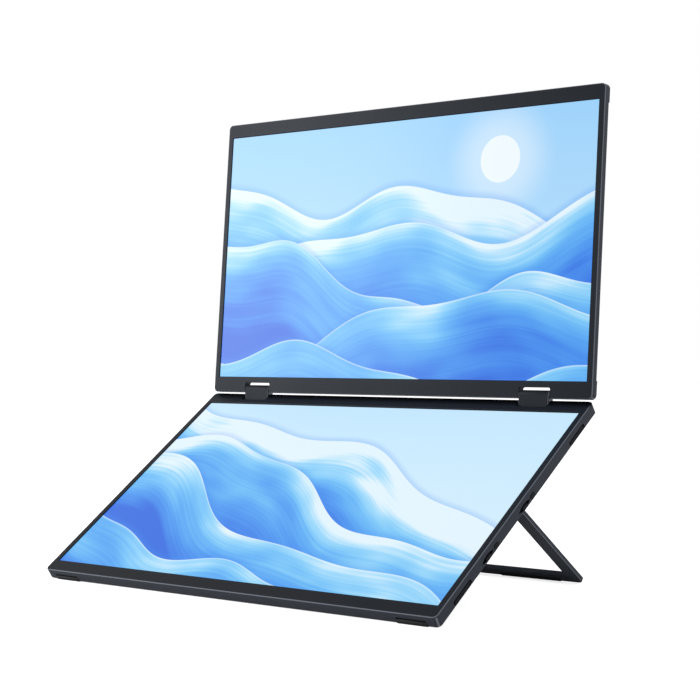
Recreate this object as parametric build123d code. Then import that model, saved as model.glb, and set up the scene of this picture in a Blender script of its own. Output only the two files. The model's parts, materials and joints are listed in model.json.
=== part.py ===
from build123d import *
import math
import os

# Dual portable monitor: two 15.6 inch screens stacked on twin-shaft hinges, with a fold-out stand.
# World frame in millimetres: X to the right, Y to the back, Z up.
# The origin is on the desk, under the middle of the open monitor.
# Each screen is drawn in its own panel frame: y runs from the hinge edge to the far edge,
# z is zero on the front face and negative towards the back, x runs along the hinge.
# The lower panel is turned over in plan, so its local +x is the monitor's left side.

# Screens
active_width = 344.2
active_height = 193.6
side_bezel = 5.0
hinge_bezel = 12.25
far_bezel = 10.8

# How the monitor stands in its open pose, in degrees
lower_slope = 35.1
upper_lean = 4.8
link_slope = 84.5

# Shells
lower_thickness = 8.4
upper_thickness = 4.7
band_rise = 1.4
band_height = 12.95
band_ramp = 1.3
corner_radius = 3.5
wall = 1.5
back_wall = 1.0
upper_back_wall = 0.9
bezel_skin = 0.7
bezel_rim = 1.3
edge_chamfer = 0.5
bezel_inner_chamfer = 0.35
back_edge_chamfer = 0.4

# Display stack, from the front
display_margin = 2.2
display_corner = 1.0
display_glass = 1.1
guide_thickness = 1.3
reflector_thickness = 0.2
led_width = 2.0
led_end_gap = 4.0
stack_clearance = 0.1
rib_width = 1.0
rib_count = 3
rib_bracket_gap = 5.2
rib_end_gap = 9.0

# Shell screws
screw_radius = 0.8
screw_head_radius = 1.5
screw_head_height = 0.7
screw_slot_width = 0.3
screw_hole_clearance = 0.1
boss_radius = 1.9
post_length = 1.8
inner_screw_offset = 70.0
outer_screw_inset = 7.5
shell_screw_hinge_y = 4.4
shell_screw_far_inset = 5.0
shell_screw_side_inset = 5.4

# Twin-shaft hinges
hinge_side_inset = 46.85
notch_width = 26.0
notch_depth = 7.9
notch_wall = 1.2
notch_corner = 1.6
closed_gap = 1.76
lower_shaft_depth = 3.9
upper_shaft_depth = 2.6
shaft_inset = 2.65
shaft_radius = 1.25
running_clearance = 0.05
link_side_gap = 0.7
link_radius = 3.25
link_shell = 0.65
link_end_round = 0.5
plate_count = 4
plate_thickness = 2.4
washer_thickness = 0.4
washer_radius = 2.3
shaft_wall_gap = 0.15
bracket_gap = 0.2
bracket_length = 10.0
bracket_barrel = 1.8
bracket_bore_gap = 0.01
bracket_leaf = 0.8
bracket_leaf_depth = 8.6
bracket_screw_y = 6.8
bracket_screw_shares = (0.25, 0.75)

# Kickstand
stand_side_inset = 38.5
stand_end_inset = 2.2
strut_width = 10.9
crossbar_width = 10.2
stand_thickness = 2.6
stand_corner = 4.5
stand_inner_corner = 1.5
smallest_round = 0.1
stand_pivot_y = 78.05
stand_pivot_depth = 1.55
stand_knuckle = 1.5
pin_radius = 0.7
strip_length = 51.0
strip_centre_x = 93.7
strip_width = 3.8
strip_top = 0.3
strip_end_proud = 0.7
strip_face_proud = 0.5
strip_round = 1.0
sole_flat = 0.12
stand_groove = 0.4
stand_groove_width = 0.9
stand_groove_inset = 6.2

# Recess for the folded stand
recess_depth = 3.6
recess_floor = 0.6
recess_wall = 0.8
recess_gap = 0.4
recess_end_gap = 2.3
recess_far_gap = 1.0
scoop_width = 26.0
scoop_depth = 7.0
stand_bracket_width = 9.0
stand_bracket_leaf = 1.0
stand_bracket_reach = 11.0
stand_bracket_gap = 0.3
stand_screw_spacing = 5.2
pin_boss = 3.0

# Feet on the front edge and ribbed inserts on the sides
foot_length = 23.0
foot_side_inset = 20.8
foot_height = 3.0
foot_depth = 3.0
foot_proud = 0.45
foot_round = 1.0
foot_recess = 1.6
pocket_gap = 0.15
pocket_backing = 1.2
insert_length = 21.2
insert_y = 29.5
insert_depth = 3.0
insert_height = 3.9
insert_gap = 0.2
insert_border = 0.8
insert_border_depth = 0.6
insert_rib_pitch = 1.4
insert_groove = 0.6
insert_groove_height = 1.6
insert_rim = 0.3
insert_end_round = 1.2
insert_opening_margin = 0.5

# Buttons and jog levers on the right side
control_depth = 5.55
control_offset = 14.2
control_spacing = 49.4
jog_offset = 11.1
button_length = 5.4
button_height = 2.6
button_clearance = 0.2
button_proud = 0.4
button_travel = 0.3
button_flange = 0.7
button_flange_lip = 0.7
button_lip_corner = 0.4
switch_gap = 0.05
switch_depth = 4.5
jog_switch_depth = 5.5
plunger_radius = 0.5
plunger_length = 0.75
jog_recess_length = 15.4
jog_recess_height = 3.6
jog_recess_depth = 1.0
jog_boss_depth = 3.0
jog_boss_length = 14.0
jog_head_length = 5.6
jog_head_height = 1.8
jog_proud = 0.6
jog_head_gap = 0.6
jog_head_corner = 0.6
jog_stem_corner = 0.3
jog_slot_corner = 0.5
jog_stem_length = 2.4
jog_pivot_inset = 3.4
jog_pin_radius = 0.4
jog_tail = 1.9
jog_clearance = 0.4
jog_switch_gap = 0.3

# Boards, sockets and speakers
board_thickness = 0.8
board_standoff = 0.8
board_side_inset = 28.0
board_start = 16.0
board_stand_gap = 4.4
board_ear_start = 44.0
socket_depth = 10.0
socket_height = 3.1
usb_width = 8.9
hdmi_width = 11.2
socket_wall = 0.35
socket_back = 1.5
socket_corner = 0.9
socket_clearance = 0.15
tongue_thickness = 0.7
tongue_inset = 1.1
tongue_recess = 1.5
usb_y = 48.65
usb_spacing = 10.6
hdmi_spacing = 11.6
board_screw_x = 20.0
board_screw_side_inset = 10.0
board_screw_inset = 4.0
chip_height = 1.2
chips = ((0.0, 40.0, 16.0, 16.0), (-52.0, 36.0, 12.0, 12.0), (54.0, 44.0, 10.0, 8.0),
         (104.0, 30.0, 9.0, 9.0), (-104.0, 50.0, 14.0, 7.0))
speaker_width = 14.0
speaker_length = 21.0
speaker_height = 2.9
control_board_width = 9.0
control_board_margin = 6.0
driver_board_screw_gap = 8.25
driver_board_start = 2.4
driver_board_gap = 0.4
driver_chip = (14.0, 5.0)
driver_chip_height = 1.0

# How far a cut runs past the face that it opens
overcut = 1.0
face_overlap = 0.01

# Sizes that follow from the ones above
panel_width = active_width + 2 * side_bezel
panel_height = hinge_bezel + active_height + far_bezel
half_width = panel_width / 2
inner_half = half_width - wall
inner_end = panel_height - wall
stack_depth = bezel_skin + display_glass + guide_thickness + reflector_thickness
display_start = hinge_bezel - display_margin
display_end = hinge_bezel + active_height + display_margin
lower_inner = lower_thickness - back_wall
upper_inner = upper_thickness - upper_back_wall
band_inner = upper_inner + band_rise
band_thickness = upper_thickness + band_rise
hinge_x = half_width - hinge_side_inset
shaft_spacing = lower_shaft_depth + upper_shaft_depth + closed_gap
link_width = notch_width - 2 * link_side_gap
post_end = bezel_skin + post_length
stand_width = panel_width - 2 * stand_side_inset
stand_length = panel_height - stand_pivot_y - stand_end_inset
strut_inner = stand_width / 2 - strut_width
rib_reach = strut_inner - stand_bracket_gap - stand_bracket_width - rib_bracket_gap
rib_positions = [rib_reach * step / (rib_count - 1) for step in range(rib_count)]
recess_ceiling = lower_thickness - recess_depth
foot_x = half_width - foot_side_inset
inner_screw_x = hinge_x - inner_screw_offset
side_place_far = panel_height - insert_y
button_places = [panel_height / 2 - control_offset + step * control_spacing for step in range(2)]
jog_places = [y + jog_offset for y in button_places]
usb_places = [usb_y, usb_y + usb_spacing]
hdmi_place = usb_places[-1] + hdmi_spacing
board_half_width = half_width - board_side_inset
board_end = stand_pivot_y - board_stand_gap
driver_board_length = 2 * (inner_screw_x - driver_board_screw_gap)
driver_board_width = band_height - band_ramp - driver_board_gap - driver_board_start
jog_pin_top = -stack_depth - 2 * stack_clearance


def turn(angle):
    """Unit vector in the YZ plane at an angle from +Y towards +Z, in degrees."""
    return Vector(0, math.cos(math.radians(angle)), math.sin(math.radians(angle)))


# Directions of the two panels and of the link between the shafts
lower_down = turn(180 + lower_slope)
lower_normal = turn(90 + lower_slope)
upper_up = turn(90 - upper_lean)
upper_normal = turn(180 - upper_lean)
link_up = turn(link_slope)

# Places relative to the middle of the hinge link
lower_shaft = link_up * (-shaft_spacing / 2)
upper_shaft = link_up * (shaft_spacing / 2)
lower_origin = lower_shaft - lower_down * shaft_inset + lower_normal * lower_shaft_depth
upper_origin = upper_shaft - upper_up * shaft_inset + upper_normal * upper_shaft_depth


def on_lower(y, z):
    """Point of the lower panel frame, relative to the middle of the hinge link."""
    return lower_origin + lower_down * y + lower_normal * z


# The desk touches the soles of the front feet, and the stand opens until its strips touch it too
foot_centre = on_lower(panel_height + foot_proud - foot_round, -lower_thickness - foot_proud + foot_round)
desk = foot_centre.Z - foot_round + sole_flat
stand_pivot = on_lower(stand_pivot_y, stand_pivot_depth - lower_thickness)
sole_along = stand_length + strip_end_proud - strip_round
sole_below = stand_thickness / 2 + strip_face_proud - strip_round
sole_reach = math.hypot(sole_along, sole_below)
sole_angle = math.degrees(math.atan2(sole_below, sole_along))
stand_height = stand_pivot.Z - desk - strip_round + sole_flat
stand_drop = math.degrees(math.asin(stand_height / sole_reach)) - sole_angle
stand_back = stand_pivot + turn(-stand_drop) * stand_length + turn(90 - stand_drop) * (stand_thickness / 2)
front_edge = on_lower(panel_height, -edge_chamfer)
shift = Vector(0, -(front_edge.Y + stand_back.Y) / 2, -desk)

# The frames that the sub-parts are placed in
lower_plane = Plane(origin=lower_origin + shift, x_dir=(-1, 0, 0), z_dir=lower_normal)
upper_plane = Plane(origin=upper_origin + shift, x_dir=(1, 0, 0), z_dir=upper_normal)
link_plane = Plane(origin=shift, x_dir=(1, 0, 0), z_dir=turn(link_slope + 90))
stand_plane = Plane(origin=stand_pivot + shift, x_dir=(1, 0, 0), z_dir=turn(90 - stand_drop))

nodes = {}


def keep(name, frame, *shapes):
    """Place shapes drawn in a frame and keep their solids as one named node."""
    placed = [frame.location * shape for shape in shapes]
    solids = [solid for shape in placed for solid in shape.solids()]
    nodes[name] = solids[0] if len(solids) == 1 else Compound(solids)
    nodes[name].label = name


def block(x_from, x_to, y_from, y_to, z_from, z_to):
    """Box between two opposite corners."""
    centre = Pos((x_from + x_to) / 2, (y_from + y_to) / 2, (z_from + z_to) / 2)
    return centre * Box(abs(x_to - x_from), abs(y_to - y_from), abs(z_to - z_from))


def slab(sketch, z_from, z_to):
    """A plan sketch made solid between two heights."""
    low = min(z_from, z_to)
    return Pos(0, 0, low) * extrude(sketch, abs(z_to - z_from))


def profile(sketch, x_from, x_to):
    """A side sketch, drawn in y and z, made solid between two places along x."""
    low = min(x_from, x_to)
    return Pos(low, 0, 0) * extrude(Plane.YZ * sketch, abs(x_to - x_from))


def rod(radius, x_from, x_to, y, z):
    """Cylinder along x."""
    return profile(Pos(y, z) * Circle(radius), x_from, x_to)


def post(radius, x, y, z_from, z_to):
    """Cylinder across the panel."""
    return slab(Pos(x, y) * Circle(radius), z_from, z_to)


def plan(width, y_from, y_to, radius):
    """Rounded rectangle centred on x."""
    return Pos(0, (y_from + y_to) / 2) * RectangleRounded(width, y_to - y_from, radius)


def panel_slab(thickness, radius):
    """Outer block of a panel, with the small chamfer round its back edge."""
    body = slab(plan(panel_width, 0, panel_height, radius), 0, -thickness)
    return chamfer(body.faces().sort_by(Axis.Z)[0].edges(), back_edge_chamfer)


def notch_plan(side, grow):
    """Plan of a hinge notch, grown by a wall where asked."""
    reach = notch_depth + grow
    corner = notch_corner + grow
    width = notch_width + 2 * grow
    return Pos(side * hinge_x, 0) * RectangleRounded(width, 2 * reach, corner)


def shell_screw_places():
    """Where the six screws join the rear cover to the bezel, as x and y."""
    hinge_side = [(side * x, shell_screw_hinge_y) for x in (inner_screw_x, half_width - outer_screw_inset)
                  for side in (-1, 1)]
    far_y = panel_height - shell_screw_far_inset
    far_x = half_width - shell_screw_side_inset
    return hinge_side + [(side * far_x, far_y) for side in (-1, 1)]


def front_bezel():
    """Front frame: a thin plate round the screen, with a rim that meets the cover."""
    outline = plan(panel_width, 0, panel_height, corner_radius)
    frame = slab(outline, 0, -bezel_rim)
    frame = chamfer(frame.faces().sort_by(Axis.Z)[-1].edges(), edge_chamfer)
    inside = Pos(0, (wall + inner_end) / 2) * Rectangle(2 * inner_half, inner_end - wall)
    frame -= slab(inside, -bezel_skin, -bezel_rim)
    window = Pos(0, hinge_bezel + active_height / 2) * Rectangle(active_width, active_height)
    cut = slab(window, 0, -bezel_skin)
    bevel = extrude(window, bezel_inner_chamfer, taper=-45)
    frame -= cut
    frame -= Pos(0, 0, -bezel_inner_chamfer) * bevel
    for x, y in shell_screw_places():
        frame += post(boss_radius, x, y, -bezel_skin, -post_end)
        frame -= post(screw_radius, x, y, -bezel_rim, -post_end)
    for side in (-1, 1):
        frame -= slab(notch_plan(side, 0), 0, -bezel_rim)
    return frame


def shell_bosses(cover, inner, thickness_at):
    """Screw bosses inside a cover, with counterbored holes from behind."""
    for x, y in shell_screw_places():
        thickness = thickness_at(y)
        cover += post(boss_radius, x, y, -inner(y), -post_end)
        cover -= post(screw_radius, x, y, -thickness, -post_end)
        cover -= post(screw_head_radius, x, y, -thickness, screw_head_height - thickness)
    return cover


def shell_screws(thickness_at):
    """The screws that sit in those bosses, heads flush with the back."""
    screws = []
    for x, y in shell_screw_places():
        thickness = thickness_at(y)
        shank = post(screw_radius, x, y, -thickness, -bezel_rim - running_clearance)
        head = post(screw_head_radius, x, y, -thickness, screw_head_height - thickness)
        slot = block(x - screw_head_radius, x + screw_head_radius, y - screw_slot_width / 2,
                     y + screw_slot_width / 2, -thickness, screw_head_height / 2 - thickness)
        screws.append(shank + head - slot)
    return screws


def open_notches(cover, thickness, shaft_depth):
    """Wall in the hinge notches, then open them and bore the walls for the shafts."""
    for side in (-1, 1):
        lining = slab(notch_plan(side, notch_wall), -bezel_rim, -thickness)
        cover += lining & block(-half_width, half_width, 0, panel_height, 0, -thickness)
        cover -= slab(notch_plan(side, 0), 0, -thickness)
        reach = notch_width / 2 + notch_wall + bracket_gap + bracket_length + shaft_wall_gap
        cover -= rod(shaft_radius + shaft_wall_gap, side * hinge_x - reach, side * hinge_x + reach,
                     shaft_inset, -shaft_depth)
    return cover


def cavity(inner):
    """Inside of a tray, between its side walls, down to an inner depth."""
    return block(-inner_half, inner_half, wall, inner_end, 0, -inner)


def upper_cover():
    """Thin rear cover, thicker along its hinge edge and its far edge."""
    cover = panel_slab(upper_thickness, corner_radius)
    ridge = panel_slab(band_thickness, corner_radius)
    middle = block(-panel_width, panel_width, band_height, panel_height - band_height,
                   -upper_thickness, -2 * band_thickness)
    ramp_end = band_height + overcut
    slope_face = Polygon((band_height - band_ramp, -band_thickness), (band_height, -upper_thickness),
                         (ramp_end, -upper_thickness), (ramp_end, -band_thickness - overcut),
                         (band_height - band_ramp, -band_thickness - overcut), align=None)
    slope = profile(slope_face, -panel_width, panel_width)
    far_slope = Pos(0, panel_height, 0) * mirror(slope, Plane.XZ)
    cover += ridge - middle - slope - far_slope
    cover -= block(-panel_width, panel_width, 0, panel_height, 0, -bezel_rim)
    cover -= cavity(upper_inner)
    for y_from, y_to in ((wall, band_height - band_ramp), (panel_height - band_height + band_ramp, inner_end)):
        cover -= block(-inner_half, inner_half, y_from, y_to, 0, -band_inner)
    for x in rib_positions:
        for side in (-1, 1):
            cover += block(side * x - rib_width / 2, side * x + rib_width / 2, band_height + rib_end_gap,
                           display_end - rib_end_gap, -upper_inner, -stack_depth)
    cover = open_notches(cover, band_thickness, upper_shaft_depth)
    return shell_bosses(cover, lambda y: band_inner, lambda y: band_thickness)


def stand_outline(grow, inner_grow, y_from, y_to):
    """U-shaped plan of the folded stand in the panel frame, grown for its recess."""
    outer_width = stand_width + 2 * grow
    inner_width = 2 * strut_inner - 2 * inner_grow
    bar_start = stand_pivot_y + stand_length - crossbar_width - inner_grow
    outer = Pos(0, (y_from + y_to) / 2) * Rectangle(outer_width, y_to - y_from)
    inner_length = bar_start - y_from + 2 * overcut
    inner = Pos(0, bar_start - inner_length / 2) * Rectangle(inner_width, inner_length)
    corner = max(stand_inner_corner - inner_grow, smallest_round)
    inner = fillet(inner.vertices().group_by(Axis.Y)[-1], corner)
    return outer - inner


def stand_bracket_box(side, grow, z_from, z_to):
    """Space of a stand hinge bracket, inboard of its strut."""
    outer = strut_inner - stand_bracket_gap
    return block(side * (outer - stand_bracket_width - grow), side * (strut_inner + grow),
                 stand_pivot_y - recess_end_gap - grow, stand_pivot_y + stand_bracket_reach + grow,
                 z_from, z_to)


def stand_recess(cover):
    """Trough in the back that takes the folded stand and its hinge brackets."""
    start = stand_pivot_y - recess_end_gap
    end = stand_pivot_y + stand_length + recess_far_gap
    inside = -(recess_ceiling - recess_floor)
    walls = recess_gap + recess_wall
    trough = stand_outline(walls, walls, start - recess_wall, end + recess_wall)
    cover += slab(trough, inside, -lower_inner)
    for side in (-1, 1):
        cover += stand_bracket_box(side, walls, inside, -lower_inner)
        boss_start = stand_width / 2 + recess_gap
        cover += block(side * boss_start, side * (boss_start + pin_boss), stand_pivot_y - pin_boss,
                       stand_pivot_y + pin_boss, inside, -lower_inner)
    cover += block(-scoop_width / 2 - recess_wall, scoop_width / 2 + recess_wall,
                   end - crossbar_width - scoop_depth - recess_wall, end, inside, -lower_inner)
    cover -= slab(stand_outline(recess_gap, recess_gap, start, end), -recess_ceiling, -lower_thickness)
    cover -= block(-scoop_width / 2, scoop_width / 2, end - crossbar_width - scoop_depth, end,
                   -recess_ceiling, -lower_thickness)
    pin_z = stand_pivot_depth - lower_thickness
    for side in (-1, 1):
        cover -= stand_bracket_box(side, recess_gap, -recess_ceiling, -lower_thickness)
        cover -= rod(pin_radius, side * stand_width / 2,
                     side * (stand_width / 2 + recess_gap + pin_boss - recess_wall), stand_pivot_y, pin_z)
        for x, y in stand_screw_places(side):
            cover -= post(screw_radius, x, y, inside, -recess_ceiling)
    return cover


def stand_screw_places(side):
    """Two screws in each stand hinge bracket."""
    x = side * (strut_inner - stand_bracket_gap - stand_bracket_width / 2)
    middle = stand_pivot_y + (stand_bracket_reach + stand_knuckle) / 2
    return [(x - stand_screw_spacing / 2, middle), (x + stand_screw_spacing / 2, middle)]


def foot_pockets(cover):
    """Pockets in the front edge for the two rubber feet, with material behind them."""
    for side in (-1, 1):
        x_from = side * foot_x - foot_length / 2 - pocket_gap
        x_to = side * foot_x + foot_length / 2 + pocket_gap
        top = foot_height + foot_recess - lower_thickness
        floor = panel_height - foot_depth
        cover += block(x_from - pocket_backing, x_to + pocket_backing, floor - pocket_backing, inner_end,
                       top + pocket_backing, -lower_inner)
        cover -= block(x_from, x_to, floor, panel_height + overcut, top, -lower_thickness - overcut)
    return cover


def insert_places():
    """Middles of the four ribbed side inserts, as side and y."""
    return [(side, y) for side in (-1, 1) for y in (insert_y, side_place_far)]


def insert_outline(y, grow):
    """Side view of an insert, round at its upper corners and running out past the back."""
    return Pos(y, -lower_thickness) * RectangleRounded(insert_length + 2 * grow, 2 * (insert_height + grow),
                                                       insert_end_round)


def insert_pockets(cover):
    """Pockets in the side walls for the ribbed inserts, each with an opening behind it."""
    top = insert_height + insert_gap - lower_thickness
    for side, y in insert_places():
        half = insert_length / 2 + insert_gap
        floor = half_width - insert_depth
        backing_top = min(top + pocket_backing, -stack_depth - stack_clearance)
        cover += block(side * (floor - pocket_backing), side * inner_half, y - half - pocket_backing,
                       y + half + pocket_backing, backing_top, -lower_inner)
        cover -= profile(insert_outline(y, insert_gap), side * floor, side * (half_width + overcut))
        cover -= block(side * (floor - pocket_backing), side * floor, y - half + 2 * pocket_backing,
                       y + half - 2 * pocket_backing, top - insert_opening_margin,
                       insert_opening_margin - lower_inner)
    return cover


def side_insert(side, y):
    """Dark ribbed bar in a side pocket, flush with the cover and stepped down round its upper sides."""
    floor = half_width - insert_depth
    bar = profile(insert_outline(y, 0), side * floor, side * half_width)
    bar &= panel_slab(lower_thickness, corner_radius)
    step = profile(insert_outline(y, insert_gap), side * (half_width - insert_border_depth),
                   side * (half_width + overcut))
    bar -= step - profile(insert_outline(y, -insert_border), 0, side * panel_width)
    bottom = back_edge_chamfer + insert_rim - lower_thickness
    count = int((insert_length - 2 * insert_border) / insert_rib_pitch)
    for number in range(count):
        at = y + (number - (count - 1) / 2) * insert_rib_pitch
        bar -= block(side * (half_width - insert_groove), side * (half_width + overcut), at - insert_groove / 2,
                     at + insert_groove / 2, bottom, bottom + insert_groove_height)
    return bar


def lens(length, height):
    """Eye-shaped outline with pointed ends, lengthways along its first axis."""
    radius = (length ** 2 + height ** 2) / (4 * height)
    offset = radius - height / 2
    return (Pos(0, offset) * Circle(radius)) & (Pos(0, -offset) * Circle(radius))


def control_openings(cover):
    """Holes for the buttons, and eye-shaped recesses with a thick floor for the jog levers."""
    for y in button_places:
        hole = SlotOverall(button_length + 2 * button_clearance, button_height + 2 * button_clearance)
        cover -= profile(Pos(y, -control_depth) * hole, -half_width - overcut, -inner_half + face_overlap)
    for y in jog_places:
        half = jog_boss_length / 2
        cover += block(-inner_half, jog_boss_depth - inner_half, y - half, y + half,
                       -stack_depth - stack_clearance, -lower_inner)
        cover -= profile(Pos(y, -control_depth) * lens(jog_recess_length, jog_recess_height),
                         -half_width - overcut, jog_recess_depth - half_width)
        slot = RectangleRounded(jog_stem_length + 4 * jog_clearance, jog_head_height + 2 * jog_clearance,
                                jog_slot_corner)
        cover -= profile(Pos(y, -control_depth) * slot, -half_width, jog_boss_depth - inner_half + overcut)
        cover -= post(jog_pin_radius, jog_pivot_inset - half_width, y, jog_pin_top, -lower_inner)
    return cover


def socket_holes(cover):
    """Side openings for the sockets, on the left of the monitor."""
    for y, width in socket_list():
        hole = RectangleRounded(width + 2 * socket_clearance, socket_height + 2 * socket_clearance,
                                socket_corner + socket_clearance)
        cover -= profile(Pos(y, -socket_centre()) * hole, inner_half - face_overlap, half_width + overcut)
    return cover


def socket_list():
    """The places and widths of all sockets."""
    return [(y, usb_width) for y in usb_places] + [(hdmi_place, hdmi_width)]


def socket_centre():
    """Depth of the sockets' middle: they rest on the inside of the back."""
    return lower_inner - socket_height / 2


def board_screw_places():
    """Four screws hold the main board on its standoffs."""
    near = (board_screw_x, board_end - board_screw_inset)
    far = (board_half_width - board_screw_side_inset, board_start + board_screw_inset)
    return [(side * x, y) for x, y in (near, far) for side in (-1, 1)]


def lower_cover():
    """Deep rear tray of the lower screen."""
    cover = panel_slab(lower_thickness, corner_radius)
    cover -= block(-panel_width, panel_width, 0, panel_height, 0, -bezel_rim)
    cover -= cavity(lower_inner)
    rib_start = stand_pivot_y + rib_end_gap
    rib_end = stand_pivot_y + stand_length - crossbar_width - rib_end_gap
    for x in rib_positions:
        for side in (-1, 1):
            cover += block(side * x - rib_width / 2, side * x + rib_width / 2, rib_start, rib_end,
                           -lower_inner, -stack_depth)
    for x, y in board_screw_places():
        cover += post(boss_radius, x, y, -lower_inner, board_standoff - lower_inner)
        cover -= post(screw_radius, x, y, -lower_inner, board_standoff - lower_inner)
    cover = open_notches(cover, lower_thickness, lower_shaft_depth)
    cover = stand_recess(cover)
    cover = foot_pockets(cover)
    cover = insert_pockets(cover)
    cover = control_openings(cover)
    cover = socket_holes(cover)
    return shell_bosses(cover, lambda y: lower_inner, lambda y: lower_thickness)


def display_stack(prefix, frame):
    """Display glass, light guide, reflector and light strip, one behind the other."""
    middle = (display_start + display_end) / 2
    width = active_width + 2 * display_margin
    outline = Pos(0, middle) * RectangleRounded(width, display_end - display_start, display_corner)
    depth = bezel_skin
    for name, thickness in (("display_glass", display_glass), ("light_guide", guide_thickness),
                            ("reflector_sheet", reflector_thickness)):
        keep(prefix + name, frame, slab(outline, -depth, -depth - thickness))
        depth += thickness
    top = -bezel_skin - display_glass
    half = width / 2 - led_end_gap
    strip = block(-half, half, display_end, display_end + led_width, top, top - guide_thickness)
    keep(prefix + "light_strip", frame, strip)


def hinge_brackets(inner, shaft_depth):
    """Steel brackets that grip the shaft ends and are screwed to a cover."""
    brackets = []
    for hinge in (-1, 1):
        for side in (-1, 1):
            near = hinge * hinge_x + side * (notch_width / 2 + notch_wall + bracket_gap)
            far = near + side * bracket_length
            barrel = rod(bracket_barrel, near, far, shaft_inset, -shaft_depth)
            barrel &= block(near, far, wall, notch_depth, 0, -inner)
            web = block(near, far, wall, shaft_inset + bracket_barrel, -shaft_depth, -inner)
            leaf = block(near, far, wall, bracket_leaf_depth, bracket_leaf - inner, -inner)
            piece = barrel + web + leaf
            piece -= rod(shaft_radius + bracket_bore_gap, near, far, shaft_inset, -shaft_depth)
            for x, y in bracket_screw_places(hinge, side):
                piece -= post(screw_radius, x, y, bracket_leaf - inner, -inner)
            brackets.append(piece)
    return brackets


def bracket_screw_places(hinge, side):
    """Two screws in each hinge bracket."""
    near = hinge * hinge_x + side * (notch_width / 2 + notch_wall + bracket_gap)
    return [(near + side * bracket_length * share, bracket_screw_y) for share in bracket_screw_shares]


def leaf_screws(places, top, length):
    """Pan-head screws standing on a leaf or a board."""
    return [post(screw_head_radius, x, y, top, top + screw_head_height)
            + post(screw_radius, x, y, top, top - length) for x, y in places]


def hinge_shafts(shaft_depth):
    """Two steel shafts, one through each hinge block."""
    reach = notch_width / 2 + notch_wall + bracket_gap + bracket_length
    return [rod(shaft_radius, hinge * hinge_x - reach, hinge * hinge_x + reach, shaft_inset, -shaft_depth)
            for hinge in (-1, 1)]


def link_profile(radius):
    """Stadium round both shafts, drawn in the link frame."""
    return Rot(0, 0, 90) * SlotCenterToCenter(shaft_spacing, 2 * radius)


def link_frame_profile(sketch, x_from, x_to):
    """Extrude a section of the link along the hinge. In this frame y crosses from shaft to shaft."""
    return profile(Rot(0, 0, -90) * sketch, x_from, x_to)


def hinge_links():
    """Hinge block covers, the steel link plates inside them and the washers at their ends."""
    inner_radius = link_radius - link_shell
    bore = shaft_radius + running_clearance
    plates = []
    washers = []
    for hinge, name in ((-1, "left"), (1, "right")):
        start = hinge * hinge_x - link_width / 2
        end = start + link_width
        block_cover = link_frame_profile(link_profile(link_radius), start, end)
        ends = block_cover.faces().sort_by(Axis.X)
        block_cover = chamfer(ends[0].edges() + ends[-1].edges(), link_end_round)
        block_cover -= link_frame_profile(link_profile(inner_radius), start, end)
        keep("hinge_cover_" + name, link_plane, block_cover)
        pitch = (link_width - plate_thickness) / (plate_count - 1)
        for step in range(plate_count):
            at = start + step * pitch
            plate = link_frame_profile(link_profile(inner_radius - running_clearance), at, at + plate_thickness)
            for shaft in (-1, 1):
                plate -= rod(bore, at, at + plate_thickness, shaft * shaft_spacing / 2, 0)
            plates.append(plate)
        for shaft in (-1, 1):
            for at in (start - washer_thickness, end):
                ring = rod(washer_radius, at, at + washer_thickness, shaft * shaft_spacing / 2, 0)
                washers.append(ring - rod(bore, at, at + washer_thickness, shaft * shaft_spacing / 2, 0))
    keep("hinge_link_plates", link_plane, *plates)
    keep("hinge_washers", link_plane, *washers)


def kickstand():
    """U-shaped stand frame with its strips, its pins and its hinge brackets."""
    outer = Pos(0, stand_length / 2) * Rectangle(stand_width, stand_length)
    outer = fillet(outer.vertices().group_by(Axis.Y)[-1], stand_corner)
    inner_length = stand_length - crossbar_width
    inner = Pos(0, inner_length / 2) * Rectangle(2 * strut_inner, inner_length)
    inner = fillet(inner.vertices().group_by(Axis.Y)[-1], stand_inner_corner)
    half = stand_thickness / 2
    frame = slab(outer - inner, -half, half)
    ends = stand_width / 2
    for side in (-1, 1):
        frame += rod(stand_knuckle, side * strut_inner, side * ends, 0, 0)
        frame -= rod(pin_radius + running_clearance, side * strut_inner, side * ends, 0, 0)
    groove_y = stand_length - stand_groove_inset
    frame -= block(-strut_inner, strut_inner, groove_y - stand_groove_width / 2,
                   groove_y + stand_groove_width / 2, -half, stand_groove - half)
    bottom = -half - strip_face_proud
    end = stand_length + strip_end_proud
    section = Pos(end - (strip_width + strip_end_proud) / 2, (strip_top + bottom) / 2) * Rectangle(
        strip_width + strip_end_proud, strip_top - bottom)
    section = fillet(section.vertices().group_by(Axis.X)[-1].group_by(Axis.Y)[0], strip_round)
    strip_ends = [(side * strip_centre_x - strip_length / 2, side * strip_centre_x + strip_length / 2)
                  for side in (-1, 1)]
    strips = [profile(section, start, end) for start, end in strip_ends]
    for strip in strips:
        frame -= strip
    keep("kickstand_frame", stand_plane, frame)
    below = Pos(0, 0, -stand_length) * Box(2 * stand_width, 4 * stand_length, 2 * stand_length)
    keep("kickstand_strips", Plane.XY, *[stand_plane.location * strip - below for strip in strips])


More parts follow.
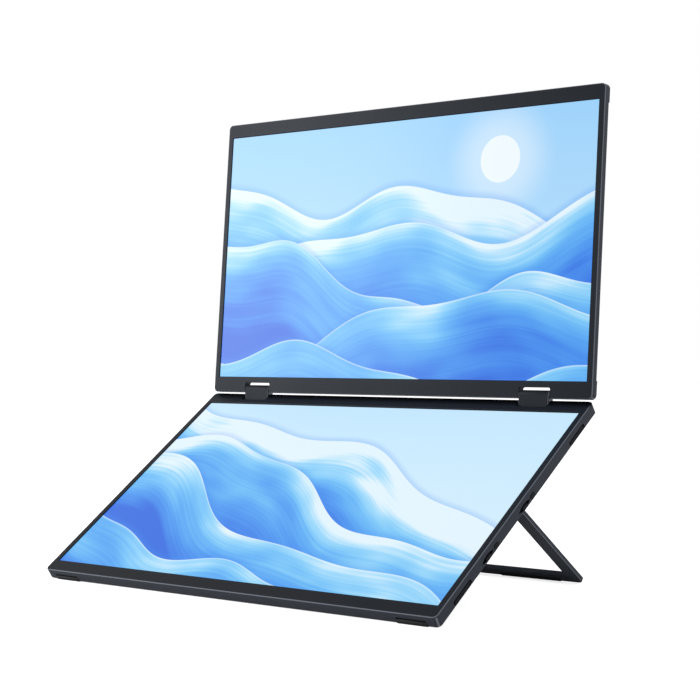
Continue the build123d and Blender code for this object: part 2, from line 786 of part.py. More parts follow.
def stand_mounting():
    """Hinge brackets and pins of the stand, fixed in the lower cover."""
    pin_z = stand_pivot_depth - lower_thickness
    brackets = []
    pins = []
    places = []
    for side in (-1, 1):
        outer = side * (strut_inner - stand_bracket_gap)
        inner = outer - side * stand_bracket_width
        barrel = rod(stand_knuckle, outer, inner, stand_pivot_y, pin_z)
        web = block(outer, inner, stand_pivot_y - stand_knuckle, stand_pivot_y + stand_knuckle, pin_z,
                    -recess_ceiling)
        leaf = block(outer, inner, stand_pivot_y, stand_pivot_y + stand_bracket_reach,
                     -recess_ceiling - stand_bracket_leaf, -recess_ceiling)
        piece = barrel + web + leaf - rod(pin_radius, outer, inner, stand_pivot_y, pin_z)
        for x, y in stand_screw_places(side):
            piece -= post(screw_radius, x, y, -recess_ceiling - stand_bracket_leaf, -recess_ceiling)
        brackets.append(piece)
        places += stand_screw_places(side)
        pin_end = side * (stand_width / 2 + recess_gap + pin_boss - recess_wall)
        pins.append(rod(pin_radius, inner, pin_end, stand_pivot_y, pin_z))
    head_bottom = -recess_ceiling - stand_bracket_leaf
    screws = [post(screw_head_radius, x, y, head_bottom, head_bottom - screw_head_height)
              + post(screw_radius, x, y, head_bottom, recess_floor - recess_ceiling) for x, y in places]
    keep("kickstand_hinge_brackets", lower_plane, *brackets)
    keep("kickstand_pins", lower_plane, *pins)
    keep("kickstand_bracket_screws", lower_plane, *screws)


def front_feet():
    """Rubber bars at the front corners, worn flat where they meet the desk."""
    bottom = -lower_thickness - foot_proud
    top = foot_height - lower_thickness
    front = panel_height + foot_proud
    floor = panel_height - foot_depth
    section = Pos((front + floor) / 2, (top + bottom) / 2) * Rectangle(front - floor, top - bottom)
    outer = section.vertices().group_by(Axis.X)[-1]
    section = fillet(outer, foot_round)
    below = Pos(0, 0, -panel_height) * Box(2 * panel_width, 4 * panel_height, 2 * panel_height)
    feet = [profile(section, side * foot_x - foot_length / 2, side * foot_x + foot_length / 2)
            for side in (-1, 1)]
    keep("front_feet", Plane.XY, *[lower_plane.location * foot - below for foot in feet])


def main_board():
    """Main board with its chips, sockets and screws."""
    top = board_standoff + board_thickness - lower_inner
    bottom = board_standoff - lower_inner
    ear_end = half_width - socket_depth
    board = block(-board_half_width, board_half_width, board_start, board_end, bottom, top)
    board += block(board_half_width - overcut, ear_end, board_ear_start, board_end, bottom, top)
    for x, y in board_screw_places():
        board -= post(screw_radius + screw_hole_clearance, x, y, bottom, top)
    keep("main_board", lower_plane, board)
    keep("board_screws", lower_plane, *leaf_screws(board_screw_places(), top, board_standoff + board_thickness))
    pieces = [block(x - length / 2, x + length / 2, y - width / 2, y + width / 2, top, top + chip_height)
              for x, y, length, width in chips]
    keep("board_chips", lower_plane, *pieces)


def socket(y, width):
    """Open metal socket: two flat walls, two curved ends, a closed back and the contact tongue."""
    centre = Pos(y, -socket_centre())
    start = half_width - socket_depth
    outer = RectangleRounded(width, socket_height, socket_corner)
    inner = offset(outer, -socket_wall)
    back = profile(centre * outer, start, start + socket_back)
    ring = outer - inner
    flat = width / 2 - socket_corner
    middle = Rectangle(2 * flat, socket_height)
    walls = profile(centre * (ring & middle), start + socket_back, half_width).solids()
    for side in (-1, 1):
        end = Pos(side * (flat + socket_corner / 2), 0) * Rectangle(socket_corner, socket_height)
        walls += profile(centre * (ring & end), start + socket_back, half_width).solids()
    tongue = Rectangle(width - 2 * tongue_inset, tongue_thickness)
    return [back, *walls, profile(centre * tongue, start + socket_back, half_width - tongue_recess)]


def speakers():
    """Four flat speakers, one behind each ribbed insert."""
    face = half_width - insert_depth - pocket_backing
    return [block(side * (face - speaker_width), side * face, y - speaker_length / 2, y + speaker_length / 2,
                  speaker_height - lower_inner, -lower_inner) for side, y in insert_places()]


def controls():
    """Buttons, jog levers, their pins, and the side board that carries their switches."""
    outer = -half_width
    flange_face = -inner_half + switch_gap
    for number, y in enumerate(button_places, start=1):
        centre = Pos(y, -control_depth)
        cap = profile(centre * SlotOverall(button_length, button_height), outer - button_proud, flange_face)
        lip = RectangleRounded(button_length + 2 * button_flange_lip, button_height, button_lip_corner)
        cap += profile(centre * lip, flange_face, flange_face + button_flange)
        keep(f"button_{number}", lower_plane, cap)
    pins = []
    pivot = jog_pivot_inset - half_width
    for number, y in enumerate(jog_places, start=1):
        centre = Pos(y, -control_depth)
        head = RectangleRounded(jog_head_length, jog_head_height, jog_head_corner)
        lever = profile(centre * head, outer - jog_proud, outer + jog_recess_depth - jog_head_gap)
        stem = RectangleRounded(jog_stem_length, jog_head_height, jog_stem_corner)
        lever += profile(centre * stem, outer, pivot + jog_tail)
        lever -= post(jog_pin_radius + running_clearance, pivot, y, 0, -lower_thickness)
        keep(f"jog_lever_{number}", lower_plane, lever)
        pins.append(post(jog_pin_radius, pivot, y, jog_pin_top, -lower_inner))
    keep("jog_pins", lower_plane, *pins)
    board_top = board_thickness - lower_inner
    board_edge = pivot + jog_tail + jog_switch_gap
    board = block(board_edge, board_edge + control_board_width, button_places[0] - control_board_margin,
                  jog_places[-1] + control_board_margin, board_top, -lower_inner)
    keep("control_board", lower_plane, board)
    switch_top = stack_depth + 2 * stack_clearance
    switches = []
    for y in button_places:
        tip = flange_face + button_flange + button_travel + switch_gap
        body = block(tip + plunger_length, tip + plunger_length + switch_depth, y - button_length / 2,
                     y + button_length / 2, -switch_top, board_top)
        switches.append(body + rod(plunger_radius, tip, tip + plunger_length, y, -control_depth))
    for y in jog_places:
        face = pivot + jog_tail + jog_switch_gap
        switches.append(block(face, face + jog_switch_depth, y - button_length / 2, y + button_length / 2,
                              -switch_top, board_top))
    keep("side_switches", lower_plane, *switches)


def upper_electronics():
    """Driver board of the upper screen, in the thick hinge band."""
    half = driver_board_length / 2
    top = board_thickness - band_inner
    board = block(-half, half, driver_board_start, driver_board_start + driver_board_width, -band_inner, top)
    keep("upper_driver_board", upper_plane, board)
    length, width = driver_chip
    middle = driver_board_start + driver_board_width / 2
    pieces = [block(x - length / 2, x + length / 2, middle - width / 2, middle + width / 2, top,
                    top + driver_chip_height)
              for x in (-half / 2, 0, half / 2)]
    keep("upper_driver_chips", upper_plane, *pieces)


def shared_panel_pieces(prefix, frame, inner, thickness, shaft_depth):
    """What both panels have: bezel, display stack, hinge brackets, shafts and screws."""
    keep(prefix + "front_bezel", frame, front_bezel())
    display_stack(prefix, frame)
    keep(prefix + "hinge_brackets", frame, *hinge_brackets(inner, shaft_depth))
    keep(prefix + "hinge_shafts", frame, *hinge_shafts(shaft_depth))
    places = [place for hinge in (-1, 1) for side in (-1, 1) for place in bracket_screw_places(hinge, side)]
    keep(prefix + "bracket_screws", frame, *leaf_screws(places, bracket_leaf - inner, bracket_leaf))
    keep(prefix + "cover_screws", frame, *shell_screws(lambda y: thickness))


keep("upper_rear_cover", upper_plane, upper_cover())
shared_panel_pieces("upper_", upper_plane, band_inner, band_thickness, upper_shaft_depth)
upper_electronics()

keep("lower_rear_cover", lower_plane, lower_cover())
shared_panel_pieces("lower_", lower_plane, lower_inner, lower_thickness, lower_shaft_depth)
main_board()
keep("usb_c_sockets", lower_plane, *[solid for y in usb_places for solid in socket(y, usb_width)])
keep("mini_hdmi_socket", lower_plane, *socket(hdmi_place, hdmi_width))
keep("speakers", lower_plane, *speakers())
keep("side_inserts", lower_plane, *[side_insert(side, y) for side, y in insert_places()])
controls()
front_feet()
stand_mounting()
hinge_links()
kickstand()

os.makedirs("parts", exist_ok=True)
for name, shape in nodes.items():
    export_step(shape, "parts/" + name + ".step")

print("lower shaft", lower_shaft + shift)
print("upper shaft", upper_shaft + shift)
print("stand pivot", stand_pivot + shift, "opens", round(180 - lower_slope - stand_drop, 3), "degrees")
print("panel origins", lower_plane.origin, upper_plane.origin)
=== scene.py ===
import json
import math

import bpy
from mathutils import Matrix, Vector


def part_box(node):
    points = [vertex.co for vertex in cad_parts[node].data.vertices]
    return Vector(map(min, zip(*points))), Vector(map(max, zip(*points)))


# Dual portable monitor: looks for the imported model.
# Metres, X to the right, Y to the back, Z up, desk at Z = 0.

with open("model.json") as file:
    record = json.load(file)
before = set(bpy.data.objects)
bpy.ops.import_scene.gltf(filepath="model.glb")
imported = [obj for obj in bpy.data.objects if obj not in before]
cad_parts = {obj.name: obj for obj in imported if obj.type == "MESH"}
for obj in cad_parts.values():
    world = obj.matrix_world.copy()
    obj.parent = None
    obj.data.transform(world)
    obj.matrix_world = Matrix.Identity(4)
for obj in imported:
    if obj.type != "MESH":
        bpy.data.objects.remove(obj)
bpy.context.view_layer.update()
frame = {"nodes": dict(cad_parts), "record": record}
nodes = frame["nodes"]
MM = 0.001

# Pose of the panels and the stand, as in the CAD model
SIDEWAYS = (1, 0, 0)
LOWER_SLOPE = math.radians(35.1)
UPPER_LEAN = math.radians(4.8)
STAND_DROP = math.radians(35.767)
LOWER_UP = Vector((0, math.cos(LOWER_SLOPE), math.sin(LOWER_SLOPE)))
LOWER_NORMAL = Vector((0, -math.sin(LOWER_SLOPE), math.cos(LOWER_SLOPE)))
UPPER_UP = Vector((0, math.sin(UPPER_LEAN), math.cos(UPPER_LEAN)))
UPPER_NORMAL = Vector((0, -math.cos(UPPER_LEAN), math.sin(UPPER_LEAN)))
STAND_NORMAL = Vector((0, math.sin(STAND_DROP), math.cos(STAND_DROP)))

# Lit areas, and where the middle of each one's lower edge lies
ACTIVE_WIDTH = 344.2 * MM
ACTIVE_HEIGHT = 193.6 * MM
GLASS_BORDER = 2.2 * MM
UPPER_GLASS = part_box("upper_display_glass")
LOWER_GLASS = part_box("lower_display_glass")
UPPER_LIT_EDGE = Vector((0, UPPER_GLASS[0].y, UPPER_GLASS[0].z)) + UPPER_UP * GLASS_BORDER
LOWER_LIT_EDGE = Vector((0, LOWER_GLASS[0].y, LOWER_GLASS[0].z)) + LOWER_UP * GLASS_BORDER

# Outer side faces of the lower cover and the stand, seen from the middle
WALL_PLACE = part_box("lower_rear_cover")[1].x
STAND_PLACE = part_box("kickstand_frame")[1].x

# Where each mask below begins and ends its fade
PIXEL_FADE = (0.0, -0.2 * MM)
WINDOW_FADE = (1.4 * MM, 1.0 * MM)
POCKET_TOP = (0.1 * MM, 0.3 * MM)
POCKET_FLOOR = (4.2 * MM, 4.0 * MM)
POCKET_ENDS = (6 * MM, 5 * MM)
SHADE_FADE = (4 * MM, 9.5 * MM)
STAND_LINE = (0.8 * MM, 0.6 * MM)

# Cosine between a surface and its shell's flat side, from where to where it gets a painted edge
# highlight, a painted highlight line on the flat side or a side rim
HIGHLIGHT_STEEP = (0.52, 0.62)
HIGHLIGHT_FLAT = (0.88, 0.8)
LINE_FLAT = (0.85, 0.95)
RIM_STEEP = (0.5, 0.4)

# Shells, linear colours
SHELL_GREY = (0.0205, 0.0245, 0.0325)
RIM_GREY = (0.031, 0.036, 0.047)
STAND_GREY = (0.027, 0.0325, 0.043)
HINGE_GREY = (0.008, 0.0095, 0.0125)
BEZEL_GREY = (0.0052, 0.0064, 0.0092)
INSERT_GREY = (0.013, 0.0145, 0.018)
LEVER_GREY = (0.007, 0.008, 0.01)
# Painted highlight colour for edges that turn away from a shell's flat side
EDGE_HIGHLIGHT_GREY = (0.13, 0.14, 0.165)
# Painted highlight colour for the stand's edges and its outer edge line
STAND_EDGE_HIGHLIGHT = (0.36, 0.385, 0.44)
# Painted shade: black for side recesses, insert grooves and the strip under the upper panel
PAINTED_SHADE_BLACK = (0.002, 0.002, 0.0022)
BLUE_TINT = (0.78, 0.87, 1.0)
SHELL_ROUGH = (0.42, 0.56)
BEZEL_ROUGH = (0.36, 0.46)
INSERT_ROUGH = (0.5, 0.62)
MOTTLE_GAIN = 1.35
SPECKLE_GAIN = 1.6
SPECKLE_RANGE = (0.56, 0.72)
GRAIN_SCALE = 2600.0
GRAIN_DEPTH = 0.02 * MM
GRAIN_STRENGTH = 0.35
MOTTLE_SCALE = 14.0

# Steel, plastic and boards
LINE_STRETCH = 0.97
LINE_SCALE = 5200.0
LINE_DEPTH = 0.01 * MM
LINE_STRENGTH = 0.4
STEEL_ROUGH = (0.25, 0.4)
STAIN_SCALE = 90.0
STAIN_GAIN = 0.7
MOULD_SCALE = 900.0
MOULD_DEPTH = 0.03 * MM
MOULD_STRENGTH = 0.5
MOULD_SPREAD = (-0.06, 0.08)
BLOTCH_SCALE = 60.0
RESIST_GREENS = ((0.012, 0.07, 0.045), (0.01, 0.058, 0.038))
TRACK_GREEN = (0.035, 0.12, 0.07)
TRACK_SCALE = 260.0
TRACK_WIDTH = 0.012
TRACK_DEPTH = 0.02 * MM
TRACK_STRENGTH = 0.4
RESIST_SCALE = 1500.0
RESIST_ROUGH = (0.3, 0.45)


class Graph:
    """A new material, with short names for the shader nodes used below."""

    def __init__(self, name):
        self.material = bpy.data.materials.new(name)
        self.material.use_nodes = True
        self.tree = self.material.node_tree
        self.shader = self.tree.nodes["Principled BSDF"]
        self.coords = self.tree.nodes.new("ShaderNodeTexCoord")

    def link(self, value, socket):
        if isinstance(value, bpy.types.NodeSocket):
            self.tree.links.new(value, socket)
        else:
            socket.default_value = value

    def math(self, operation, a, b=0.0, clamp=False):
        node = self.tree.nodes.new("ShaderNodeMath")
        node.operation = operation
        node.use_clamp = clamp
        self.link(a, node.inputs[0])
        self.link(b, node.inputs[1])
        return node.outputs[0]

    def add(self, a, b, clamp=False):
        return self.math("ADD", a, b, clamp)

    def subtract(self, a, b):
        return self.math("SUBTRACT", a, b)

    def multiply(self, a, b):
        return self.math("MULTIPLY", a, b)

    def absolute(self, value):
        return self.math("ABSOLUTE", value)

    def dot(self, vector, direction):
        node = self.tree.nodes.new("ShaderNodeVectorMath")
        node.operation = "DOT_PRODUCT"
        self.link(vector, node.inputs[0])
        node.inputs[1].default_value = direction
        return node.outputs["Value"]

    def combine(self, x, y, z):
        node = self.tree.nodes.new("ShaderNodeCombineXYZ")
        for value, socket in zip((x, y, z), node.inputs):
            self.link(value, socket)
        return node.outputs[0]

    def step(self, value, low, high):
        """Soft step from 0 at low to 1 at high, or down where low is the greater."""
        node = self.tree.nodes.new("ShaderNodeMapRange")
        node.interpolation_type = "SMOOTHSTEP"
        self.link(value, node.inputs["Value"])
        node.inputs["From Min"].default_value = low
        node.inputs["From Max"].default_value = high
        return node.outputs["Result"]

    def between(self, value, low, high):
        """Value of 0 to 1 spread over low to high."""
        node = self.tree.nodes.new("ShaderNodeMapRange")
        self.link(value, node.inputs["Value"])
        node.inputs["To Min"].default_value = low
        node.inputs["To Max"].default_value = high
        return node.outputs["Result"]

    def mix(self, factor, a, b):
        node = self.tree.nodes.new("ShaderNodeMix")
        node.data_type = "RGBA"
        colour_a, colour_b = node.inputs[6], node.inputs[7]
        self.link(factor, node.inputs[0])
        self.link(rgba(a), colour_a)
        self.link(rgba(b), colour_b)
        return node.outputs[2]

    def ramp(self, value, stops):
        node = self.tree.nodes.new("ShaderNodeValToRGB")
        node.color_ramp.interpolation = "B_SPLINE"
        elements = node.color_ramp.elements
        while len(elements) < len(stops):
            elements.new(0.5)
        for element, (place, colour) in zip(elements, stops):
            element.position = place
            element.color = rgba(colour)
        self.link(value, node.inputs[0])
        return node.outputs["Color"]

    def noise(self, scale, detail=3.0, roughness=0.5, vector=None):
        node = self.tree.nodes.new("ShaderNodeTexNoise")
        node.inputs["Scale"].default_value = scale
        node.inputs["Detail"].default_value = detail
        node.inputs["Roughness"].default_value = roughness
        self.link(vector or self.coords.outputs["Object"], node.inputs["Vector"])
        return node.outputs["Fac"]

    def bump(self, height, distance, strength):
        node = self.tree.nodes.new("ShaderNodeBump")
        node.inputs["Distance"].default_value = distance
        node.inputs["Strength"].default_value = strength
        self.link(height, node.inputs["Height"])
        return node.outputs["Normal"]

    def set(self, **values):
        """Give the shader's inputs values or sockets, with _ for a blank in a name."""
        for key, value in values.items():
            self.link(value, self.shader.inputs[key.replace("_", " ")])


def rgba(colour):
    """Four channels from three, and sockets left as they are."""
    if isinstance(colour, bpy.types.NodeSocket) or len(colour) == 4:
        return colour
    return (*colour, 1.0)


def scaled(colour, gain):
    return [channel * gain for channel in colour]


def srgb(red, green, blue):
    """Linear colour from 0 to 255 screen values."""
    def linear(value):
        value /= 255
        return value / 12.92 if value <= 0.04045 else ((value + 0.055) / 1.055) ** 2.4
    return (linear(red), linear(green), linear(blue))


# Places and masks
def screen_place(graph, up, lit_edge):
    """Place across and up a screen, from the middle of its lower lit edge."""
    place = graph.coords.outputs["Object"]
    return graph.dot(place, SIDEWAYS), graph.subtract(graph.dot(place, up), lit_edge.dot(up))


def from_middle(graph, v):
    """Distance up or down from the middle of a lit area."""
    return graph.absolute(graph.subtract(v, ACTIVE_HEIGHT / 2))


def off_centre(graph):
    """Distance to either side of the monitor's middle plane."""
    return graph.absolute(graph.dot(graph.coords.outputs["Object"], SIDEWAYS))


def lit_area(graph, up, lit_edge, fade):
    """Mask of a lit area, which fades between two distances past its sides."""
    u, v = screen_place(graph, up, lit_edge)
    across = graph.step(graph.absolute(u), *(ACTIVE_WIDTH / 2 + reach for reach in fade))
    along = graph.step(from_middle(graph, v), *(ACTIVE_HEIGHT / 2 + reach for reach in fade))
    return graph.multiply(across, along)


def in_window(up, lit_edge):
    """Mask of the small bevel round a lit area, which stays as dark as its bezel."""
    return lambda graph: lit_area(graph, up, lit_edge, WINDOW_FADE)


def shade_in_side_pockets(graph):
    """Mask of painted shade in the recesses and holes in the lower cover's side walls and in the inserts'
    grooves.
    """
    inward = graph.subtract(WALL_PLACE, off_centre(graph))
    layer = graph.multiply(graph.step(inward, *POCKET_TOP), graph.step(inward, *POCKET_FLOOR))
    v = screen_place(graph, LOWER_UP, LOWER_LIT_EDGE)[1]
    ends = (ACTIVE_HEIGHT / 2 + reach for reach in POCKET_ENDS)
    return graph.multiply(layer, graph.step(from_middle(graph, v), *ends))


def shade_under_upper_panel(graph):
    """Mask of painted shade on the lower bezel's strip under the upper panel."""
    v = screen_place(graph, LOWER_UP, LOWER_LIT_EDGE)[1]
    return graph.step(v, *(ACTIVE_HEIGHT + reach for reach in SHADE_FADE))


def stand_highlight_line(graph):
    """Mask of the painted highlight line along the stand's long outer edges."""
    return graph.step(off_centre(graph), *(STAND_PLACE - reach for reach in STAND_LINE))


# Materials
def shell_material(name, colour, edge_normal, edge_highlight_colour, roughness=SHELL_ROUGH, specular=0.24,
                   window=None, dark=None, line=None):
    """Dark satin shell: fine blasted grain, faint mottling, and a painted highlight on edges where it
    turns away.

    The masks are functions of the graph: window keeps its area free of the painted edge highlight
    and gives the side walls outside it their own grey, dark paints its area black as shade, and
    line adds a painted highlight line.
    """
    graph = Graph(name)
    fine = graph.noise(GRAIN_SCALE, 2.0)
    broad = graph.noise(MOTTLE_SCALE, 4.0)
    mottled = graph.mix(graph.between(broad, 0.0, 0.5), colour, scaled(colour, MOTTLE_GAIN))
    tone = graph.mix(graph.step(fine, *SPECKLE_RANGE), mottled, scaled(colour, SPECKLE_GAIN))
    # Painted highlight: edges that turn away from the flat side are lightened towards the edge colour
    facing = graph.absolute(graph.dot(graph.coords.outputs["Normal"], edge_normal))
    edge = graph.multiply(graph.step(facing, *HIGHLIGHT_STEEP), graph.step(facing, *HIGHLIGHT_FLAT))
    if line:
        edge = graph.math("MAXIMUM", edge, graph.multiply(line(graph), graph.step(facing, *LINE_FLAT)))
    if window:
        outside = graph.subtract(1.0, window(graph))
        edge = graph.multiply(edge, outside)
        tone = graph.mix(graph.multiply(graph.step(facing, *RIM_STEEP), outside), tone, RIM_GREY)
    tone = graph.mix(edge, tone, edge_highlight_colour)
    # Painted shade: the dark mask turns its area black and, through Metallic, takes away its gloss
    if dark:
        painted_shade = dark(graph)
        tone = graph.mix(painted_shade, tone, PAINTED_SHADE_BLACK)
        graph.set(Metallic=painted_shade)
    graph.set(Base_Color=tone, Roughness=graph.between(broad, *roughness),
              Normal=graph.bump(fine, GRAIN_DEPTH, GRAIN_STRENGTH),
              Specular_IOR_Level=specular, Specular_Tint=rgba(BLUE_TINT))
    return graph.material


def steel_material(name, colour, direction=SIDEWAYS):
    """Ground steel with fine lines along one direction."""
    graph = Graph(name)
    stretched = graph.tree.nodes.new("ShaderNodeMapping")
    stretched.inputs["Scale"].default_value = [1 - LINE_STRETCH * abs(d) for d in direction]
    graph.link(graph.coords.outputs["Object"], stretched.inputs["Vector"])
    lines = graph.noise(LINE_SCALE, 3.0, vector=stretched.outputs["Vector"])
    stains = graph.noise(STAIN_SCALE, 3.0)
    tone = graph.mix(graph.between(stains, 0.0, 0.6), colour, scaled(colour, STAIN_GAIN))
    graph.set(Base_Color=tone, Metallic=1.0, Roughness=graph.between(lines, *STEEL_ROUGH),
              Normal=graph.bump(lines, LINE_DEPTH, LINE_STRENGTH))
    return graph.material


def plain_material(name, colour, rough, vary=0.25, specular=0.4):
    """Moulded plastic or rubber: a little mottling and matt grain."""
    graph = Graph(name)
    fine = graph.noise(MOULD_SCALE, 4.0)
    broad = graph.noise(BLOTCH_SCALE, 3.0)
    rough_range = (rough + change for change in MOULD_SPREAD)
    tone = graph.mix(graph.between(broad, 0.0, 1.0), colour, scaled(colour, 1 + vary))
    graph.set(Base_Color=tone, Roughness=graph.between(fine, *rough_range),
              Specular_IOR_Level=specular, Normal=graph.bump(fine, MOULD_DEPTH, MOULD_STRENGTH))
    return graph.material


def board_material(name):
    """Solder resist over faint copper tracks."""
    graph = Graph(name)
    tracks = graph.tree.nodes.new("ShaderNodeTexBrick")
    tracks.inputs["Scale"].default_value = TRACK_SCALE
    tracks.inputs["Mortar Size"].default_value = TRACK_WIDTH
    graph.link(rgba(RESIST_GREENS[0]), tracks.inputs["Color1"])
    graph.link(rgba(RESIST_GREENS[1]), tracks.inputs["Color2"])
    graph.link(rgba(TRACK_GREEN), tracks.inputs["Mortar"])
    graph.link(graph.coords.outputs["Object"], tracks.inputs["Vector"])
    fine = graph.noise(RESIST_SCALE)
    graph.set(Base_Color=tracks.outputs["Color"], Roughness=graph.between(fine, *RESIST_ROUGH),
              Normal=graph.bump(tracks.outputs["Fac"], TRACK_DEPTH, TRACK_STRENGTH))
    return graph.material


# Picture on the screens: rolling paper-cut hills under a pale sky with a low sun
SKY_HIGH = srgb(152, 208, 251)
SKY_LOW = srgb(196, 231, 254)
SKY_PALE = srgb(222, 244, 254)
WHITE = srgb(240, 250, 255)
CYAN = srgb(146, 218, 252)
AZURE = srgb(96, 182, 247)
BLUE = srgb(62, 142, 240)
DEEP = srgb(40, 100, 222)
BORDER_BLACK = (0.003, 0.003, 0.004)
GLASS_BLACK = (0.01, 0.012, 0.015)
GLASS_ROUGH = (0.2, 0.28)
FROST_SCALE = 4200.0
HILL_STOPS = ((0.0, WHITE), (0.16, CYAN), (0.42, AZURE), (0.72, BLUE), (1.0, DEEP))
HILL_SPAN = 74 * MM
CREST_EDGE = 0.25 * MM
CREST_RIM = 1.6 * MM
RIM_LIGHT = 0.5
SHADOW_WIDTH = 7 * MM
SHADOW_DEPTH = 0.3
SWELL_GAIN = 1.3
RIPPLE_GAIN = 0.3
FLOW_SCALE = (9.0, 22.0)
CONTOUR_SCALE = (5.0, 420.0)
SKY_FALL = 0.8
SKY_GLOW = 0.25
GLOW_SCALE = 5.0
SUN_GLOW = 0.45
SUN_REACH = 3
SCREEN_POWER = 0.96

# Hills from far to near: height at the middle in mm, slope, waves (height, length, phase), tint
UPPER_HILLS = (
    (132, -0.10, ((13, 250, 0.6), (5, 118, 2.0)), -0.12),
    (104, 0.16, ((17, 330, 2.6), (6, 140, 0.4)), 0.02),
    (74, -0.12, ((19, 290, 4.4), (5, 105, 1.1)), 0.12),
    (40, 0.12, ((16, 360, 0.9), (6, 150, 3.0)), 0.2),
    (8, -0.04, ((14, 300, 3.4), (4, 120, 0.2)), 0.3),
)
LOWER_HILLS = (
    (140, -0.34, ((12, 300, 1.2), (5, 130, 0.3)), -0.2),
    (98, -0.30, ((18, 340, 3.1), (5, 120, 2.2)), -0.02),
    (52, -0.36, ((16, 280, 5.0), (6, 150, 1.0)), 0.1),
    (4, -0.34, ((15, 320, 0.7), (5, 110, 2.8)), 0.22),
)
# Middle and radius of the sun in mm
SUN_PLACE = ((92, 158), 17)


def sky(graph, v, top, bottom):
    """Background that pales downwards, with a soft glow over it."""
    fall = graph.math("DIVIDE", v, ACTIVE_HEIGHT)
    glow = graph.noise(GLOW_SCALE, 1.0, 0.4)
    level = graph.add(graph.multiply(fall, SKY_FALL), graph.multiply(glow, SKY_GLOW), clamp=True)
    return graph.mix(level, bottom, top)


def sun(graph, below, u, v, centre, radius):
    """Pale disc with a wide glow."""
    du = graph.subtract(u, centre[0] * MM)
    dv = graph.subtract(v, centre[1] * MM)
    distance = graph.math("SQRT", graph.add(graph.multiply(du, du), graph.multiply(dv, dv)))
    glow = graph.step(distance, SUN_REACH * radius * MM, radius * MM)
    lit = graph.mix(graph.multiply(glow, SUN_GLOW), below, WHITE)
    return graph.mix(graph.step(distance, radius * MM + CREST_EDGE, radius * MM - CREST_EDGE), lit, WHITE)


def streaks(graph, u, depth, scale, seed, detail, roughness):
    """Noise that runs along a hill's crest."""
    place = graph.combine(graph.multiply(u, scale[0]), graph.multiply(depth, scale[1]), seed)
    return graph.subtract(graph.noise(1.0, detail, roughness, place), 0.5)


def hill(graph, below, u, v, base, slope, waves, tint):
    """One hill over what is below: bright crest, deeper foot, faint contours, soft shadow behind."""
    crest = graph.add(graph.multiply(u, slope), base * MM)
    for height, length, phase in waves:
        turn = graph.add(graph.multiply(u, 2 * math.pi / (length * MM)), phase)
        crest = graph.add(crest, graph.multiply(graph.math("SINE", turn), height * MM))
    depth = graph.subtract(crest, v)
    shade = graph.step(depth, -SHADOW_WIDTH, CREST_EDGE)
    shaded = graph.mix(graph.multiply(shade, SHADOW_DEPTH), below, BLUE)
    swell = graph.multiply(streaks(graph, u, depth, FLOW_SCALE, base, 2.0, 0.55), SWELL_GAIN)
    ripple = graph.multiply(streaks(graph, u, depth, CONTOUR_SCALE, base, 3.0, 0.6), RIPPLE_GAIN)
    fall = graph.math("DIVIDE", depth, HILL_SPAN)
    tone = graph.add(graph.add(fall, swell), graph.add(ripple, tint), clamp=True)
    face = graph.ramp(tone, HILL_STOPS)
    rim = graph.step(depth, CREST_RIM, 0.0)
    face = graph.mix(graph.multiply(rim, RIM_LIGHT), face, WHITE)
    return graph.mix(graph.step(depth, -CREST_EDGE, CREST_EDGE), shaded, face)


def screen_material(name, up, lit_edge, hills, top, bottom, sun_place=None):
    """Lit screen: the picture glows through a lightly frosted face, and the border stays black."""
    graph = Graph(name)
    u, v = screen_place(graph, up, lit_edge)
    picture = sky(graph, v, top, bottom)
    if sun_place:
        picture = sun(graph, picture, u, v, *sun_place)
    for shape in hills:
        picture = hill(graph, picture, u, v, *shape)
    lit = lit_area(graph, up, lit_edge, PIXEL_FADE)
    frost = graph.noise(FROST_SCALE, 2.0)
    graph.set(Base_Color=rgba(GLASS_BLACK), Roughness=graph.between(frost, *GLASS_ROUGH),
              Specular_IOR_Level=0.12, Emission_Color=graph.mix(lit, BORDER_BLACK, picture),
              Emission_Strength=SCREEN_POWER)
    return graph.material


# Materials by slot, and those that belong to one node
slot_materials = {
    "cover_metal": shell_material("cover_anodised", SHELL_GREY, SIDEWAYS, EDGE_HIGHLIGHT_GREY),
    "light_guide": plain_material("guide_acrylic", (0.75, 0.79, 0.8), 0.15, vary=0.05),
    "reflector": plain_material("reflector_film", (0.8, 0.8, 0.78), 0.5, vary=0.05),
    "light_strip": plain_material("strip_resin", (0.72, 0.66, 0.4), 0.45),
    "hinge_steel": steel_material("hinge_ground_steel", (0.17, 0.175, 0.185)),
    "screw_steel": steel_material("screw_black_steel", (0.11, 0.11, 0.12)),
    "hinge_cover_metal": shell_material("hinge_anodised", HINGE_GREY, SIDEWAYS, EDGE_HIGHLIGHT_GREY,
                                        specular=0.1),
    "circuit_board": board_material("board_resist"),
    "chip_plastic": plain_material("chip_epoxy", (0.02, 0.02, 0.021), 0.55),
    "socket_steel": steel_material("socket_drawn_steel", (0.5, 0.5, 0.51), (0, 1, 0)),
    "speaker_plastic": plain_material("speaker_shell", (0.03, 0.03, 0.033), 0.6),
    # Painted shade: the inserts' grooves and rabbet are turned black
    "insert_plastic": shell_material("insert_ribbed", INSERT_GREY, SIDEWAYS, INSERT_GREY,
                                     INSERT_ROUGH, 0.12, dark=shade_in_side_pockets),
    "foot_rubber": plain_material("foot_black_rubber", (0.011, 0.0115, 0.013), 0.7, specular=0.25),
    # Painted highlight on the stand's edges and along its long outer edges
    "stand_metal": shell_material("stand_anodised", STAND_GREY, STAND_NORMAL, STAND_EDGE_HIGHLIGHT,
                                  line=stand_highlight_line),
    "control_plastic": plain_material("control_caps", (0.009, 0.01, 0.012), 0.55, specular=0.1),
}
